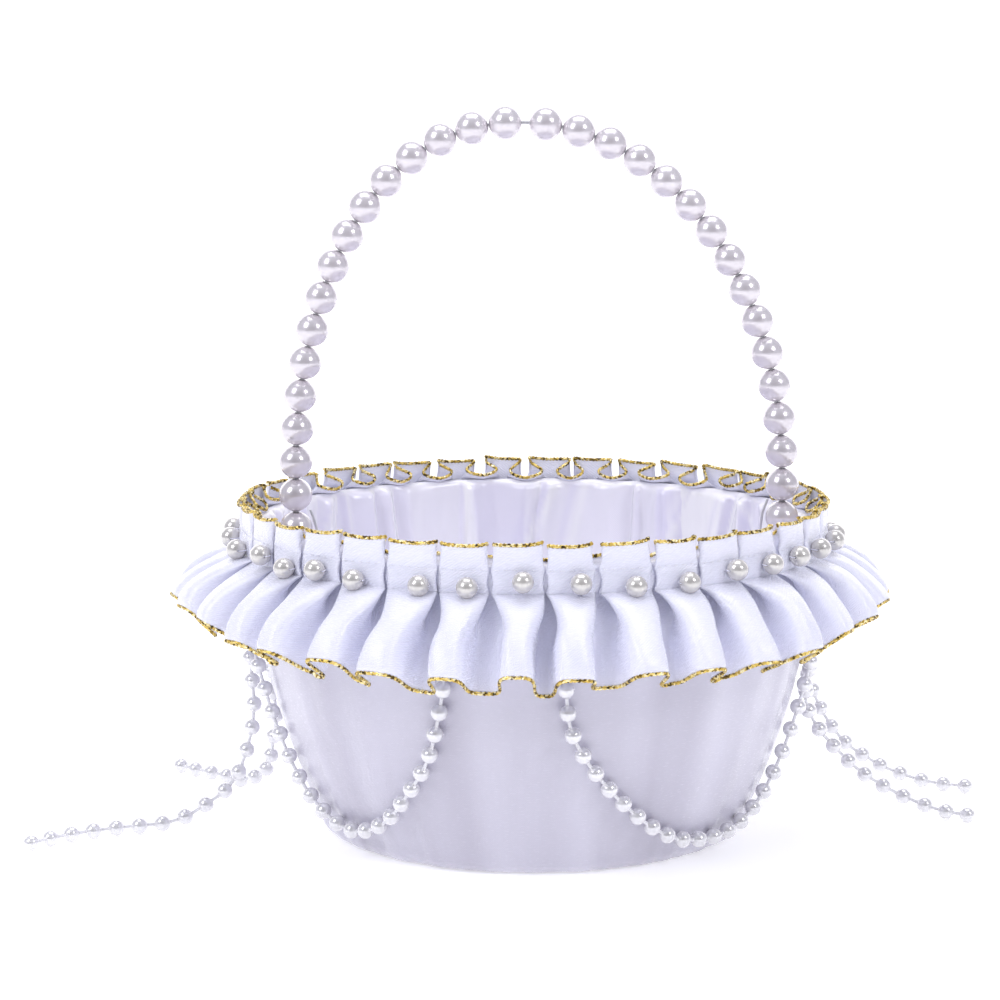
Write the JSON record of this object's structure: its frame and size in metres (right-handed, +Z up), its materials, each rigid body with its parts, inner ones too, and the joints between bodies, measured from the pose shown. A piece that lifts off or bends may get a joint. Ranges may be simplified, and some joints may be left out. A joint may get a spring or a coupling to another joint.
{
  "type": "flower girl basket",
  "caption": "Round satin-covered basket with a box-pleated gold-edged ruffle, sewn pearls, hanging bead strings and an arched wire handle threaded with pearls that tilts front to back.",
  "frame": {"origin": "middle of the round base, on the surface that the basket stands on", "axes": "+Z up; +X to the right with the front towards the viewer; the front faces -Y; the handle arch lies in the XZ plane"},
  "size_m": [0.2853, 0.214, 0.2138],
  "materials": {
    "cover_satin": "white polyester satin, gathered, silky sheen",
    "lining_satin": "white polyester satin, gathered",
    "pad_satin": "white satin over thin foam",
    "ribbon_satin": "white single-face satin ribbon with a fine diagonal twill",
    "gold_lurex": "twisted gold metallic yarn, glittering",
    "sewing_thread": "white polyester thread",
    "shell_plastic": "moulded white plastic",
    "base_card": "white faced card",
    "handle_pearl": "pearlescent lacquer, glossy",
    "ruffle_pearl": "pearlescent lacquer, ivory white",
    "string_bead": "moulded translucent white with a pearl gloss",
    "bead_string": "white monofilament string",
    "steel_wire": "bare steel wire"
  },
  "bodies": {
    "basket": {"basket_shell": "shell_plastic", "base_card": "base_card", "outer_cover": "cover_satin", "lining": "lining_satin", "floor_pad": "pad_satin", "ruffle_ribbon": "ribbon_satin", "top_gold_edging": "gold_lurex", "hem_gold_edging": "gold_lurex", "stitch_row_upper": "sewing_thread", "stitch_row_lower": "sewing_thread", "ruffle_pearls": "ruffle_pearl", "pearl_threads": "sewing_thread", "strand_knots": "sewing_thread", "tail_front_left_string": "bead_string", "tail_front_left_beads": "string_bead", "tail_front_right_string": "bead_string", "tail_front_right_beads": "string_bead", "tail_rear_left_string": "bead_string", "tail_rear_left_beads": "string_bead", "tail_rear_right_string": "bead_string", "tail_rear_right_beads": "string_bead"},
    "handle": {"handle_wire": "steel_wire", "handle_pearls": "handle_pearl", "wire_twist_left": "steel_wire", "wire_twist_right": "steel_wire"},
    "crown_pearl": {"crown_pearl": "handle_pearl"},
    "swag_front_left": {"swag_front_left_string": "bead_string", "swag_front_left_beads": "string_bead"},
    "swag_front_right": {"swag_front_right_string": "bead_string", "swag_front_right_beads": "string_bead"},
    "swag_rear_left": {"swag_rear_left_string": "bead_string", "swag_rear_left_beads": "string_bead"},
    "swag_rear_right": {"swag_rear_right_string": "bead_string", "swag_rear_right_beads": "string_bead"}
  },
  "joints": [
    {"name": "handle_swing", "type": "hinge", "parent": "basket", "child": "handle", "pos_m": [0, 0, 0.08], "axis": [1, 0, 0], "range_deg": [-40, 40]},
    {"name": "crown_pearl_slide", "type": "slide", "parent": "handle", "child": "crown_pearl", "axis": [-0.9926, 0, 0.1214], "range_m": [0, 0.0016]},
    {"name": "swag_front_left_swing", "type": "hinge", "parent": "basket", "child": "swag_front_left", "pos_m": [-0.02313, -0.08068, 0.07], "axis": [-0.6626, 0.749, 0], "range_deg": [0, 30]},
    {"name": "swag_front_right_swing", "type": "hinge", "parent": "basket", "child": "swag_front_right", "pos_m": [0.00732, -0.08361, 0.07], "axis": [-0.7373, -0.6756, 0], "range_deg": [0, 30]},
    {"name": "swag_rear_left_swing", "type": "hinge", "parent": "basket", "child": "swag_rear_left", "pos_m": [-0.02454, 0.08026, 0.07], "axis": [0.7373, 0.6756, 0], "range_deg": [0, 30]},
    {"name": "swag_rear_right_swing", "type": "hinge", "parent": "basket", "child": "swag_rear_right", "pos_m": [0.00732, 0.08361, 0.07], "axis": [0.8039, -0.5948, 0], "range_deg": [0, 30]}
  ]
}
